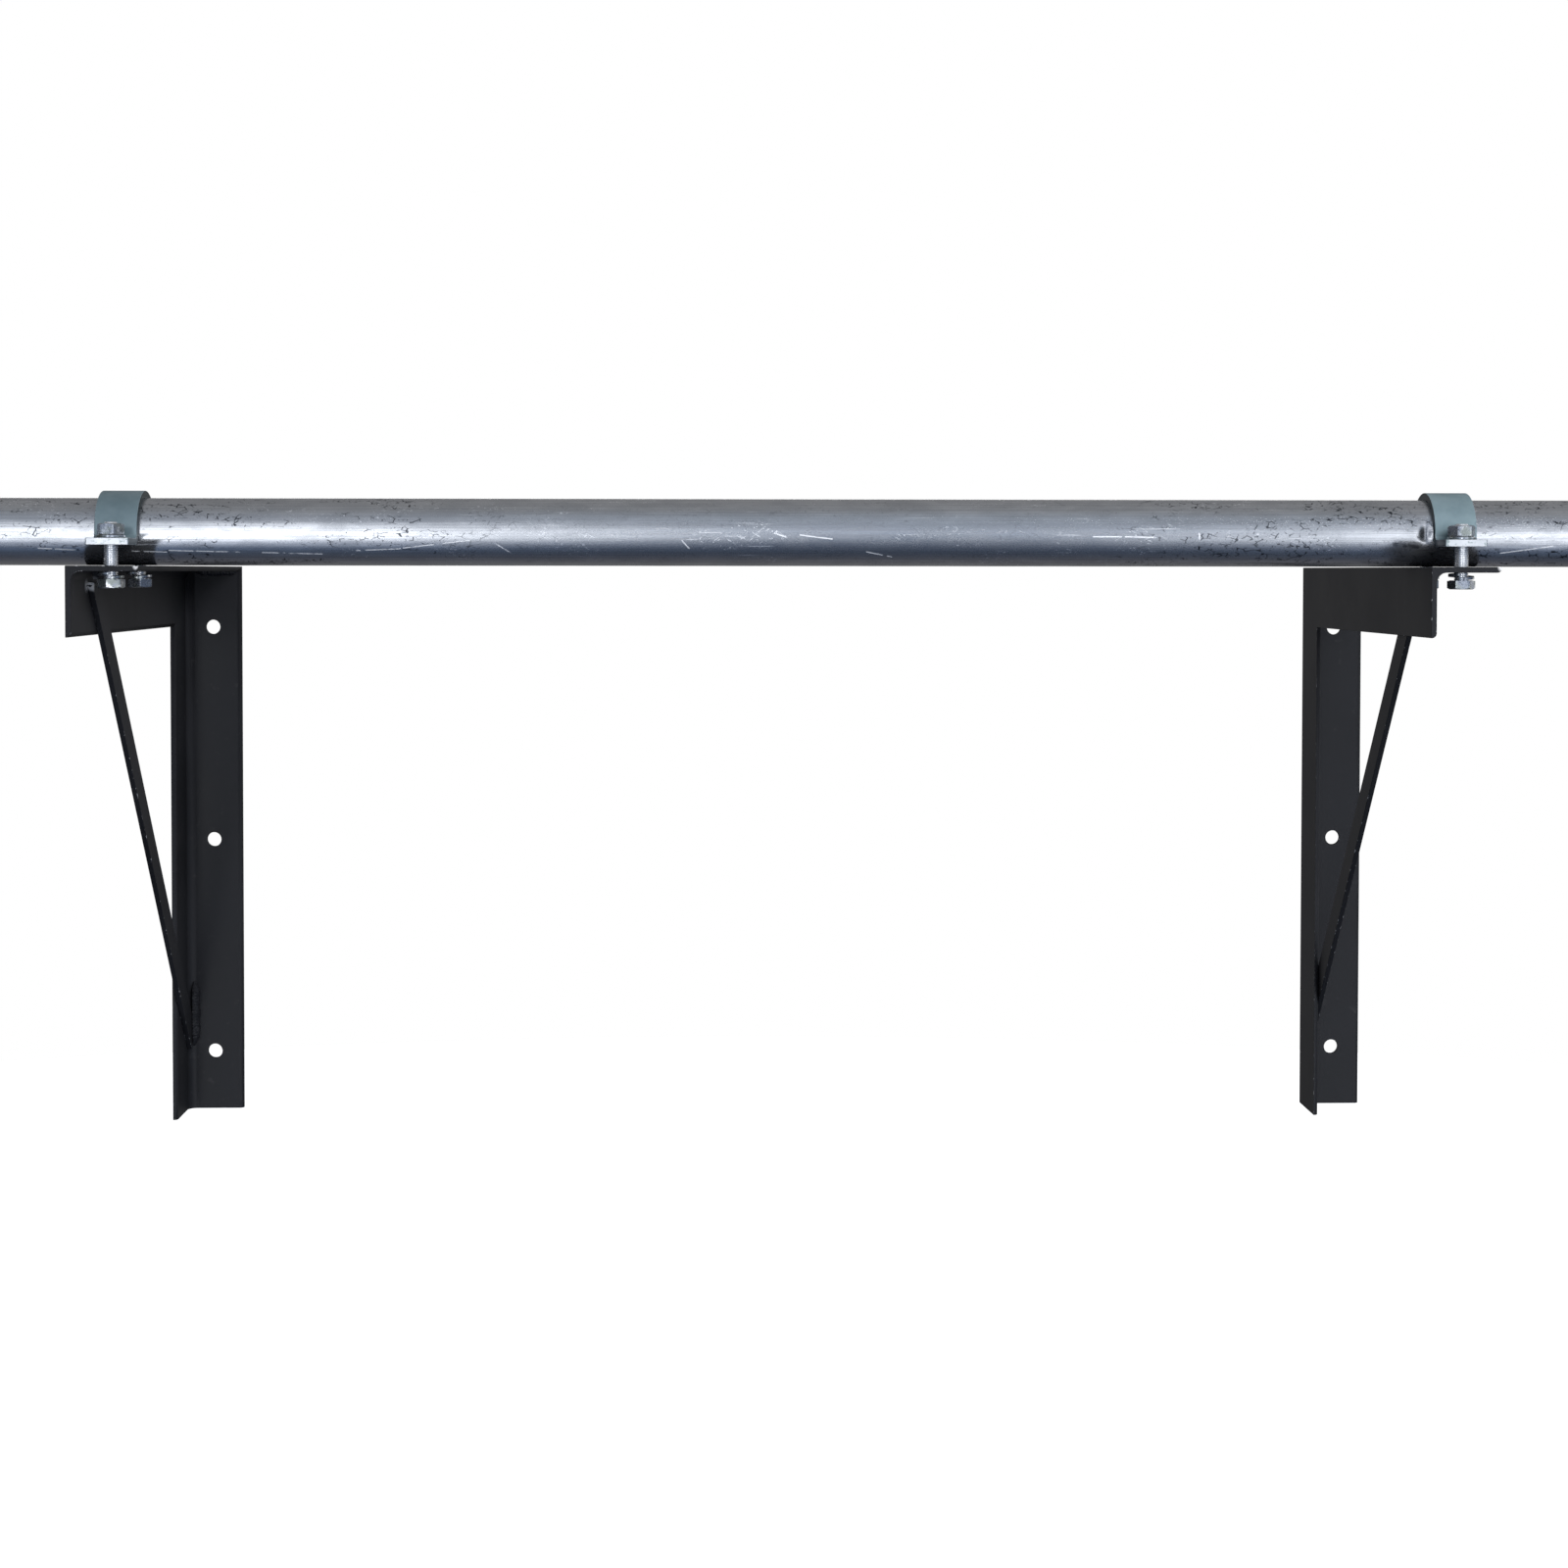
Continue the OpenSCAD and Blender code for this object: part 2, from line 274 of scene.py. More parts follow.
def black_coat():
    """Satin black powder coat: orange peel, faint dust, pale chips along edges, and two pale spots a side:
    a knock at the arm's front corner and a painted highlight at the brace's top weld.
    """
    n = Surface("black_coat")
    peel = n.noise(650, detail=1.0)
    patches = n.noise(9, detail=4.0, rough=0.6)
    fine = n.noise(120, detail=3.0, seed=2.0)
    flakes = n.noise(260, detail=3.0, rough=0.7, seed=5.0)
    chips = n.math("MULTIPLY", n.ramp(flakes, 0.60, 0.62), n.attribute("edge"))
    # Two pale spots a side: a chip at the arm's front corner, and a painted highlight at the brace's top
    # weld.
    knocks_and_painted_highlight = []
    for side in SIDES:
        arm_low, arm_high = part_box(f"arm_{side}")
        weld_low, weld_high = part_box(f"brace_top_weld_{side}")
        knocks_and_painted_highlight.append(n.near(Vector((arm_high.x, arm_low.y, arm_high.z)), 4 * MM))
        knocks_and_painted_highlight.append(n.near(Vector(((weld_low.x + weld_high.x) / 2, weld_low.y, weld_low.z)), 8 * MM))
    knocks_and_painted_highlight = n.math("MULTIPLY", n.most(knocks_and_painted_highlight), n.ramp(flakes, 0.38, 0.44))
    coat = n.mix(n.ramp(patches, 0.3, 0.7), (0.010, 0.0102, 0.012), (0.017, 0.0173, 0.020))
    coat = n.mix(n.ramp(fine, 0.62, 0.8, 0.0, 0.35), coat, (0.05, 0.05, 0.052))
    coat = n.mix(chips, coat, (0.33, 0.33, 0.34))
    n.link(n.mix(knocks_and_painted_highlight, coat, (0.72, 0.71, 0.70)), n.shader.inputs["Base Color"])
    n.link(n.ramp(patches, 0.25, 0.75, 0.46, 0.58), n.shader.inputs["Roughness"])
    n.set("Specular IOR Level", 0.28)
    n.link(n.bump(peel, 0.06 * MM, 0.6, under=n.bump(patches, 0.5 * MM, 0.25)), n.shader.inputs["Normal"])
    return n.material


# The long pale scratches on the front of the bar, read off the photo and turned into metres.
# Each has the x of its two ends, then their heights over the bar's axis as shares of the radius.
LONG_SCRATCHES = (
    (-0.440, -0.387, -0.56, -0.61), (-0.374, -0.332, -0.62, -0.66), (-0.309, -0.276, -0.56, -0.50),
    (-0.274, -0.227, -0.48, -0.25), (-0.208, -0.196, -0.36, -0.66), (-0.076, -0.071, -0.25, -0.48),
    (-0.010, -0.002, -0.03, -0.14), (0.008, 0.031, -0.08, -0.20), (0.056, 0.074, -0.58, -0.72),
    (0.218, 0.238, -0.12, -0.12), (0.241, 0.261, -0.12, -0.14), (0.294, 0.2945, -0.02, -0.20),
    (-0.466, -0.442, -0.58, -0.61), (0.513, 0.550, -0.59, -0.38), (-0.532, -0.506, -0.50, -0.55))


def bar_point(x, height):
    """The point on the front of the bar at x, height (a share of the radius) above its axis."""
    low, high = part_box("bar_tube")
    radius = (high.z - low.z) / 2
    return Vector((x, (low.y + high.y) / 2 - radius * math.sqrt(1 - height * height),
                   (low.z + high.z) / 2 + radius * height))


def dent_place():
    """Where the bar is dented: on its front, beside the right strap."""
    return bar_point(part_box("strap_right")[0].x - 5 * MM, 0.0)


def galvanised():
    """Hot-dipped tube: lines drawn along X, cracks and dark marks in patches, nicks, pale scratches."""
    n = Surface("galvanised_tube")
    lines = n.noise(1.0, (5, 900, 900), detail=3.0, rough=0.7)
    streaks = n.noise(1.0, (9, 300, 300), detail=3.0, rough=0.6, seed=1.0)
    blotches = n.noise(1.0, (30, 80, 80), detail=5.0, rough=0.62, distort=0.6, seed=3.0)
    ripples = n.noise(1.0, (14, 40, 40), detail=1.0, seed=7.0)
    grain = n.noise(1.0, (300, 800, 800), detail=3.0, rough=0.7, seed=9.0)
    near_ends = n.ramp(n.math("ABSOLUTE", n.axes()["X"], 0.0), 0.16, 0.30, 0.2, 1.0)
    patch = n.ramp(n.noise(1.0, (16, 70, 70), detail=3.0, rough=0.7, seed=17.0), 0.46, 0.56)
    patch = n.math("MULTIPLY", patch, near_ends)
    marks = n.ramp(n.noise(1.0, (400, 640, 640), detail=2.0, rough=0.7, distort=0.8, seed=11.0), 0.61, 0.65)
    marks = n.math("MULTIPLY", marks, n.math("ADD", n.math("MULTIPLY", patch, 0.55), 0.08))
    cracks = n.ramp(n.cell_edges((150, 260, 260)), 0.065, 0.03)
    hairline = n.ramp(n.noise(1.0, (140, 240, 240), detail=2.0, rough=0.6, seed=19.0), 0.50, 0.55)
    cracks = n.math("MULTIPLY", cracks, n.math("MULTIPLY", hairline, patch))
    worked = n.ramp(n.noise(1.0, (14, 50, 50), detail=2.0, rough=0.6, seed=23.0), 0.50, 0.62)
    nicks = n.ramp(n.noise(1.0, (330, 620, 620), detail=2.0, seed=14.0), 0.64, 0.68)
    rising = n.ramp(n.noise(1.0, (90, 800, 800), detail=1.0, seed=27.0, slant=-35), 0.66, 0.71, 0.0, 0.6)
    falling = n.ramp(n.noise(1.0, (90, 800, 800), detail=1.0, seed=31.0, slant=28), 0.66, 0.71, 0.0, 0.6)
    level = n.ramp(n.noise(1.0, (16, 700, 700), detail=1.0, seed=21.0), 0.67, 0.71)
    glints = n.math("MULTIPLY", n.most([nicks, rising, falling, level]), worked)
    broken = n.ramp(n.noise(1.0, (160, 160, 160), detail=2.0, seed=35.0), 0.34, 0.46)
    scratches = [n.scratch(bar_point(x0, h0), bar_point(x1, h1), 0.8 * MM)
                 for x0, x1, h0, h1 in LONG_SCRATCHES]
    pale = n.math("MULTIPLY", n.most(scratches), broken)
    zinc = n.mix(n.ramp(blotches, 0.35, 0.65), (0.56, 0.575, 0.60), (0.68, 0.695, 0.72))
    zinc = n.mix(n.ramp(lines, 0.35, 0.65, 0.0, 0.5), zinc, (0.38, 0.39, 0.42))
    zinc = n.mix(n.math("MAXIMUM", marks, cracks), zinc, (0.04, 0.045, 0.055))
    # Darker round the dent: painted shade in the dent, together with a dark gouge scratch below it.
    gouge = n.scratch(bar_point(0.435, -0.33), bar_point(0.452, -0.42), 2.4 * MM)
    dent_shade_and_gouge = n.math("MAXIMUM", n.near(dent_place(), 7 * MM), n.math("MULTIPLY", gouge, broken))
    zinc = n.mix(n.math("MULTIPLY", dent_shade_and_gouge, 0.7), zinc, (0.10, 0.11, 0.13))
    zinc = n.mix(n.math("MAXIMUM", pale, glints), zinc, (0.97, 0.98, 1.0))
    n.link(zinc, n.shader.inputs["Base Color"])
    n.link(n.ramp(pale, 0.0, 1.0, 0.94, 0.4), n.shader.inputs["Metallic"])
    rough = n.math("ADD", n.ramp(blotches, 0.3, 0.7, 0.26, 0.20), n.ramp(lines, 0.3, 0.7, 0.0, 0.05))
    rough = n.math("ADD", rough, n.math("MULTIPLY", n.math("MAXIMUM", pale, glints), 0.15))
    n.link(rough, n.shader.inputs["Roughness"])
    low = n.bump(ripples, 0.6 * MM, 0.3)
    mid = n.bump(blotches, 0.15 * MM, 0.4, under=low)
    fine = n.bump(streaks, 0.08 * MM, 0.5, under=mid)
    finer = n.bump(lines, 0.03 * MM, 0.6, under=fine)
    n.link(n.bump(grain, 0.04 * MM, 0.4, under=finer), n.shader.inputs["Normal"])
    return n.material


def blue_zinc():
    """Blue-green zinc plate of the straps. The ears, cut by shearing and hammered, are bare and bright."""
    n = Surface("blue_zinc_strap")
    clouds = n.noise(45, detail=4.0, rough=0.6)
    fine = n.noise(420, detail=2.0, seed=2.0)
    spots = n.ramp(n.noise(210, detail=2.0, rough=0.6, seed=4.0), 0.70, 0.74)
    plate = n.mix(n.ramp(clouds, 0.3, 0.7), (0.150, 0.212, 0.236), (0.205, 0.276, 0.304))
    plate = n.mix(spots, plate, (0.06, 0.10, 0.11))
    # Side faces get painted shade: a darker colour than the plate's face, and less metal.
    side = n.attribute("side")
    plate = n.mix(side, plate, (0.018, 0.028, 0.030))
    # Rubbed edges go bare silver: wear along the edges, and below the bar's axis also a painted glint.
    rub_and_painted_glint = n.math("MULTIPLY", n.attribute("edge"), n.ramp(n.noise(330, detail=3.0, seed=6.0), 0.45, 0.62))
    bare = n.math("MAXIMUM", n.math("MULTIPLY", rub_and_painted_glint, 0.8), n.attribute("ear"))
    silver = n.mix(n.ramp(n.noise(260, detail=3.0, rough=0.7, seed=8.0), 0.52, 0.66),
                   (0.80, 0.82, 0.84), (0.34, 0.41, 0.40))
    n.link(n.mix(bare, plate, silver), n.shader.inputs["Base Color"])
    metal = n.math("SUBTRACT", n.ramp(bare, 0.0, 1.0, 0.32, 0.95), n.math("MULTIPLY", side, 0.4))
    n.link(metal, n.shader.inputs["Metallic"])
    n.link(n.ramp(clouds, 0.3, 0.7, 0.44, 0.34), n.shader.inputs["Roughness"])
    n.link(n.bump(fine, 0.05 * MM, 0.5, under=n.bump(clouds, 0.6 * MM, 0.35)), n.shader.inputs["Normal"])
    return n.material


def bright_zinc():
    """Zinc plate of the fasteners: bright and duller, blue to green, in random patches, with bright
    threads.
    """
    n = Surface("bright_zinc_fastener")
    clouds = n.noise(180, detail=3.0, rough=0.6)
    tint = n.noise(120, detail=2.0, seed=5.0)
    fine = n.noise(900, detail=2.0, seed=3.0)
    smut = n.ramp(n.noise(420, detail=3.0, rough=0.7, seed=8.0), 0.56, 0.66)
    plate = n.mix(n.ramp(tint, 0.4, 0.6), (0.34, 0.37, 0.35), (0.36, 0.39, 0.45))
    plate = n.mix(n.ramp(clouds, 0.50, 0.66), plate, (0.82, 0.83, 0.85))
    plate = n.mix(n.math("MULTIPLY", smut, 0.75), plate, (0.13, 0.14, 0.15))
    plate = n.mix(n.attribute("thread"), plate, (0.90, 0.91, 0.93))
    n.link(plate, n.shader.inputs["Base Color"])
    n.set("Metallic", 0.8)
    n.link(n.ramp(clouds, 0.3, 0.7, 0.34, 0.18), n.shader.inputs["Roughness"])
    n.link(n.bump(fine, 0.03 * MM, 0.5, under=n.bump(clouds, 0.14 * MM, 0.6)), n.shader.inputs["Normal"])
    return n.material


def plug_plastic():
    """Moulded black plastic of the end plugs."""
    n = Surface("plug_plastic")
    grain = n.noise(1400, detail=1.0)
    wear = n.noise(60, detail=3.0, seed=1.0)
    n.link(n.mix(n.ramp(wear, 0.3, 0.7), (0.012, 0.012, 0.012), (0.022, 0.022, 0.023)),
           n.shader.inputs["Base Color"])
    n.link(n.ramp(wear, 0.3, 0.7, 0.5, 0.62), n.shader.inputs["Roughness"])
    n.link(n.bump(grain, 0.04 * MM, 0.6), n.shader.inputs["Normal"])
    return n.material


COAT = black_coat()
GALVANISED = galvanised()
BLUE_ZINC = blue_zinc()
BRIGHT_ZINC = bright_zinc()
PLASTIC = plug_plastic()


# ---------------------------------------------------------------- angle iron, brace and straps

def on_mitre(edge):
    """True for an edge that lies in the mitre plane between upright and arm."""
    arm_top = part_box("arm_left")[1].z
    return all(abs((v.co.z - arm_top) - v.co.y) < 0.02 * MM for v in edge.verts)


def build_brackets():
    """The angle iron and the brace of each bracket."""
    for side in SIDES:
        body = f"bracket_{side}"
        for kind in ("upright", "arm"):
            node = f"{kind}_{side}"
            finished_copy(node, f"{node}_steel", body, COAT, 0.55 * MM, on_mitre)
        finished_copy(f"brace_{side}", f"brace_{side}_steel", body, COAT, 0.45 * MM)


def face_attribute(obj, name, values):
    """Adds a number to each face of an object, for its material to read."""
    obj.data.attributes.new(name, "FLOAT", "FACE").data.foreach_set("value", values)


def build_straps():
    """The saddle straps, with the faces marked that are bare (ears), that carry painted shade (sides), or
    that are rubbed (edges, which also carry a painted glint below the bar's axis).
    """
    bevel = 0.8 * MM
    ear_margin = 0.4 * MM
    wear_above_bar = 0.15
    bar_low, bar_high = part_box("bar_tube")
    bar_z = (bar_low.z + bar_high.z) / 2
    for side in SIDES:
        node = f"strap_{side}"
        obj = finished_copy(node, f"{node}_steel", f"clamp_{side}", BLUE_ZINC, bevel)
        ear_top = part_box(f"flat_washer_{side}_front")[0].z
        faces = obj.data.polygons
        in_ear = [f.center.z < ear_top + ear_margin for f in faces]
        bare = [float(ear and abs(f.normal.y) > 0.6) for f, ear in zip(faces, in_ear)]
        face_attribute(obj, "ear", bare)
        edge = obj.data.attributes["edge"].data
        # Edge marks stay whole below the bar's axis, where they are wear and a painted glint, and are cut
        # to wear_above_bar above it.
        wear_and_painted_glint = [item.value * (1.0 if f.center.z < bar_z else wear_above_bar)
                for item, f in zip(edge, faces)]
        edge.foreach_set("value", wear_and_painted_glint)
        # Side faces are marked for painted shade in the material.
        shaded_sides = [float(abs(f.normal.x) > 0.9 and not ear) for f, ear in zip(faces, in_ear)]
        face_attribute(obj, "side", shaded_sides)


# ---------------------------------------------------------------- welds

def weld_bead(node, body, start, end, radius, face_a, face_b, seed):
    """A bead of overlapping ripples from start to end, lying in the corner between two faces.

    face_a and face_b are the unit vectors that point from the corner into the room."""
    pitch, wobble_length = 2.6 * MM, 6 * MM
    plain, ripple_share, wobble_share, rough_share = 0.86, 0.10, 0.16, 0.12
    bm = bmesh.new()
    run = end - start
    length = run.length
    along = run.normalized()
    steps = max(12, int(length / (pitch / 5)))
    around = 14
    rings = []
    for i in range(steps + 1):
        s = i / steps
        wobble = noise.noise(Vector((seed, s * length / wobble_length, 0.0)))
        ripple = ripple_share * abs(math.sin(math.pi * s * length / pitch))
        taper = math.sin(math.pi * min(1.0, 4 * min(s, 1 - s) + 0.18) / 2)
        size = radius * (plain + ripple + wobble_share * wobble) * taper
        centre = start + along * (s * length)
        ring = [bm.verts.new(centre - (face_a + face_b) * 0.3 * MM)]
        for k in range(around + 1):
            a = math.pi / 2 * k / around
            push = face_a * math.cos(a) + face_b * math.sin(a)
            rough = 1 + rough_share * noise.noise(centre * 420 + push * 2.5 + Vector((seed, 0, 0)))
            lean = along * (0.45 * radius * math.sin(2 * a))
            ring.append(bm.verts.new(centre + push * size * rough + lean * 0.4))
        rings.append(ring)
    grid_faces(bm, rings)
    bm.faces.new(rings[0])
    bm.faces.new(list(reversed(rings[-1])))
    new_piece(f"{node}_bead", bm, body, COAT, [node], sharp_deg=60)


def build_welds():
    """The beads of each bracket: inside the corner, down the brace's foot and along the brace's top."""
    sideways, forward, down = Vector((1, 0, 0)), Vector((0, -1, 0)), Vector((0, 0, -1))
    for index, side in enumerate(SIDES):
        body = f"bracket_{side}"
        seed = 3.1 + 5.7 * index
        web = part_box(f"brace_{side}")[1].x
        node = f"corner_weld_{side}"
        low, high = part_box(node)
        weld_bead(node, body, Vector((low.x, high.y, high.z)), Vector((high.x, high.y, high.z)),
                  high.z - low.z, forward, down, seed)
        node = f"brace_foot_weld_{side}"
        low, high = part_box(node)
        weld_bead(node, body, Vector((web, high.y, low.z)), Vector((web, high.y, high.z)),
                  high.x - web, sideways, forward, seed + 1)
        node = f"brace_top_weld_{side}"
        low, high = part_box(node)
        weld_bead(node, body, Vector((web, low.y, high.z)), Vector((web, high.y, high.z)),
                  high.x - web, sideways, down, seed + 2)


# ---------------------------------------------------------------- the bar and its plugs

def build_bar():
    """The tube: a lathe that is very slightly uneven, with a small dent beside the right strap."""
    low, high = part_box("bar_tube")
    radius = (high.z - low.z) / 2
    centre = (low + high) / 2
    wall = 3.2 * MM
    rim = 0.5 * MM
    unevenness = 0.03 * MM
    swells_along, swells_round = 22, 1.6
    around = 144
    coarse_step, fine_step, fine_steps = 4 * MM, 0.4 * MM, 20
    dent = dent_place()
    dent_width, dent_height, dent_depth, dent_clear = 4.0 * MM, 6.8 * MM, 1.6 * MM, 9 * MM
    bm = bmesh.new()

    def ring(x, r, uneven):
        """A ring of vertices at x, swollen at random by up to uneven and pressed in at the dent."""
        points = []
        for k in range(around):
            a = 2 * math.pi * k / around
            push = Vector((0, math.cos(a), math.sin(a)))
            spot = Vector((x * swells_along, push.y * swells_round, push.z * swells_round))
            swell = uneven * noise.noise(spot)
            if push.y < 0:
                off = math.hypot((x - dent.x) / dent_width, (centre.z + push.z * r - dent.z) / dent_height)
                swell -= dent_depth * math.exp(-off * off)
            points.append(bm.verts.new(Vector((x, centre.y, centre.z)) + push * (r + swell)))
        return points

    coarse = [low.x + coarse_step * i for i in range(1, int((high.x - low.x) / coarse_step))]
    fine = [dent.x + fine_step * i for i in range(-fine_steps, fine_steps + 1)]
    stations = [x for x in coarse if abs(x - dent.x) > dent_clear] + fine
    skin = radius - unevenness
    rims = [(0.0, radius - rim), (0.15 * MM, radius - 0.15 * MM), (rim, skin)]
    rings = [ring(low.x + step, r, 0.0) for step, r in rims]
    rings += [ring(x, skin, -unevenness) for x in sorted(stations)]
    rings += [ring(high.x - step, r, 0.0) for step, r in reversed(rims)]
    inner = radius - wall
    rings += [ring(x, inner, 0.0) for x in (high.x, (low.x + high.x) / 2, low.x)]
    grid_faces(bm, rings + rings[:1])
    new_piece("bar_tube_steel", bm, "bar", GALVANISED, ["bar_tube"])
    return radius, wall


PLUG_RIM_T = 3 * MM


def plug_profile(rim_r, stem_r, depth):
    """A plug's (radius, height) outline, closed: bore, ribbed stem, rounded rim and dished top."""
    rim_t = PLUG_RIM_T
    round_r = 1.6 * MM
    bore_r = stem_r - 2.5 * MM
    rib = 0.6 * MM
    profile = [(bore_r, -depth), (stem_r - 0.5 * MM, -depth), (stem_r, -depth + 1 * MM)]
    for ridge in (-19, -12, -5):
        z = ridge * MM
        profile += [(stem_r, z), (stem_r + rib, z + 0.4 * MM), (stem_r + rib, z + 1.6 * MM),
                    (stem_r, z + 2 * MM)]
    profile += [(stem_r, 0.0), (rim_r - 0.3 * MM, 0.0)]
    profile += arc(rim_r - round_r, rim_t - round_r, round_r, 0, 90, 6)
    return profile + [(8 * MM, rim_t), (6 * MM, rim_t - 0.7 * MM), (0.5 * MM, rim_t - 0.8 * MM),
                      (0.5 * MM, -1 * MM), (bore_r, -1 * MM)]


def build_plugs(bar_radius, wall):
    """The plastic plugs that close the tube's ends."""
    for side, sign in zip(SIDES, (-1, 1)):
        node = f"end_plug_{side}"
        low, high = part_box(node)
        centre = (low + high) / 2
        outer_x = high.x if sign > 0 else low.x
        profile = plug_profile(bar_radius - 0.3 * MM, bar_radius - wall - 0.75 * MM,
                               (high.x - low.x) - PLUG_RIM_T)
        place = (Matrix.Translation(Vector((outer_x - sign * PLUG_RIM_T, centre.y, centre.z)))
                 @ Matrix.Rotation(sign * math.pi / 2, 4, "Y"))
        bm = bmesh.new()
        lathe(bm, profile, 72, place)
        new_piece(f"{node}_cap", bm, "bar", PLASTIC, [node], sharp_deg=40)


# ---------------------------------------------------------------- fasteners

ACROSS_FLATS = 17 * MM
HEAD_H = 6.4 * MM
THREAD_PITCH = 1.5 * MM
CREST_R = 4.95 * MM
THREAD_DEPTH = 0.6 * MM
BORE_R = 5.0 * MM
CHAMFER_R = ACROSS_FLATS / 2 * 0.96


def hex_outline(turn_deg):
    """The hexagon's outline with small rounded corners, as (x, y) points."""
    corner, steps, per_side = 0.35 * MM, 3, 6
    points = []
    corner_r = ACROSS_FLATS / 2 / math.cos(math.radians(30))
    for k in range(6):
        a = math.radians(60 * k)
        middle = corner_r - corner / math.cos(math.radians(30))
        cx, cy = middle * math.cos(a), middle * math.sin(a)
        points += arc(cx, cy, corner, 60 * k - 30, 60 * k + 30, steps)
    full = []
    for p, q in zip(points, points[1:] + points[:1]):
        gap = math.dist(p, q)
        count = per_side if gap > 2 * corner else 1
        full += [(p[0] + (q[0] - p[0]) * i / count, p[1] + (q[1] - p[1]) * i / count)
                 for i in range(count)]
    t = math.radians(turn_deg)
    return [(x * math.cos(t) - y * math.sin(t), x * math.sin(t) + y * math.cos(t)) for x, y in full]


def chamfer_drop(x, y, start):
    """How far a 30 degree chamfer that starts at radius start has cut down at (x, y)."""
    return max(0.0, math.hypot(x, y) - start) * math.tan(math.radians(30))


def ring_at(bm, outline, height):
    """A ring of vertices over an outline, at the height that height(x, y) gives."""
    return [bm.verts.new((x, y, height(x, y))) for x, y in outline]


def scaled_to(outline, radius):
    """The outline's points pulled in on to a circle."""
    return [(x * radius / math.hypot(x, y), y * radius / math.hypot(x, y)) for x, y in outline]


def add_head(bm, turn_deg):
    """A hexagon head from z = 0 down to -HEAD_H, chamfered at the bottom, with a washer face on top."""
    outline = hex_outline(turn_deg)
    low = scaled_to(outline, CHAMFER_R)
    washer_r = ACROSS_FLATS / 2 * 0.97
    face = scaled_to(outline, washer_r)
    step = 0.35 * MM
    rings = [
        ring_at(bm, scaled_to(outline, 0.4 * MM), lambda x, y: -HEAD_H + 0.25 * MM),
        ring_at(bm, scaled_to(outline, CHAMFER_R * 0.55), lambda x, y: -HEAD_H + 0.25 * MM),
        ring_at(bm, scaled_to(outline, CHAMFER_R * 0.62), lambda x, y: -HEAD_H),
        ring_at(bm, scaled_to(outline, CHAMFER_R * 0.97), lambda x, y: -HEAD_H),
        ring_at(bm, low, lambda x, y: -HEAD_H + 0.08 * MM),
        ring_at(bm, outline, lambda x, y: -HEAD_H + 0.08 * MM + chamfer_drop(x, y, CHAMFER_R)),
        ring_at(bm, outline, lambda x, y: -step),
        ring_at(bm, face, lambda x, y: -step),
        ring_at(bm, face, lambda x, y: 0.0),
        ring_at(bm, scaled_to(outline, CREST_R * 0.6), lambda x, y: 0.0),
    ]
    grid_faces(bm, rings)
    bm.faces.new(list(reversed(rings[0])))
    bm.faces.new(rings[-1])


def add_thread(bm, low, high, chamfer):
    """A helical thread from low to high about Z, its top end chamfered and closed."""
    columns = 40
    root_r = CREST_R - THREAD_DEPTH
    profile = ((0.0, root_r), (0.08, root_r), (0.32, CREST_R), (0.76, CREST_R))
    turns = int((high - low) / THREAD_PITCH) + 3
    rows = []
    for s in range(turns * len(profile) + 1):
        turn, step = divmod(s, len(profile))
        share, radius = profile[step]
        row = []
        for j in range(columns):
            a = 2 * math.pi * j / columns
            z = low + THREAD_PITCH * (turn - 1.5 + share + j / columns)
            z = min(max(z, low), high)
            r = min(radius, CREST_R - max(0.0, z - (high - chamfer)) * 0.9)
            row.append(bm.verts.new((r * math.cos(a), r * math.sin(a), z)))
        rows.append(row)
    turn_rows = len(profile)
    for s in range(len(rows) - 1):
        for j in range(columns):
            if j < columns - 1:
                quad = (rows[s][j], rows[s][j + 1], rows[s + 1][j + 1], rows[s + 1][j])
            elif s + 1 + turn_rows < len(rows):
                quad = (rows[s][j], rows[s + turn_rows][0], rows[s + turn_rows + 1][0], rows[s + 1][j])
            else:
                continue
            bm.faces.new(quad)
    bmesh.ops.remove_doubles(bm, verts=bm.verts, dist=0.004 * MM)
    bmesh.ops.dissolve_degenerate(bm, edges=bm.edges, dist=0.003 * MM)


def build_bolt(side, place, turn_deg):
    """A bolt, head down: threaded shank, flat tip and hexagon head."""
    node = f"clamp_bolt_{side}_{place}"
    low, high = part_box(node)
    centre = (low + high) / 2
    under_head = low.z + HEAD_H
    top = high.z - under_head - 0.02 * MM
    bm = bmesh.new()
    add_thread(bm, 0.0, top, 1.0 * MM)
    thread = bm.faces.layers.float.new("thread")
    for face in bm.faces:
        face[thread] = 1.0
    cap_r = CREST_R - 0.9 * MM
    centre_vert = bm.verts.new((0, 0, top))
    rim = [bm.verts.new((x, y, top)) for x, y in arc(0, 0, cap_r, 0, 360, 48)[:-1]]
    for a, b in zip(rim, rim[1:] + rim[:1]):
        bm.faces.new((centre_vert, a, b))
    add_head(bm, turn_deg)
    bmesh.ops.translate(bm, verts=bm.verts, vec=Vector((centre.x, centre.y, under_head)))
    new_piece(f"{node}_steel", bm, f"bracket_{side}", BRIGHT_ZINC, [node],
              sharp_deg=28)


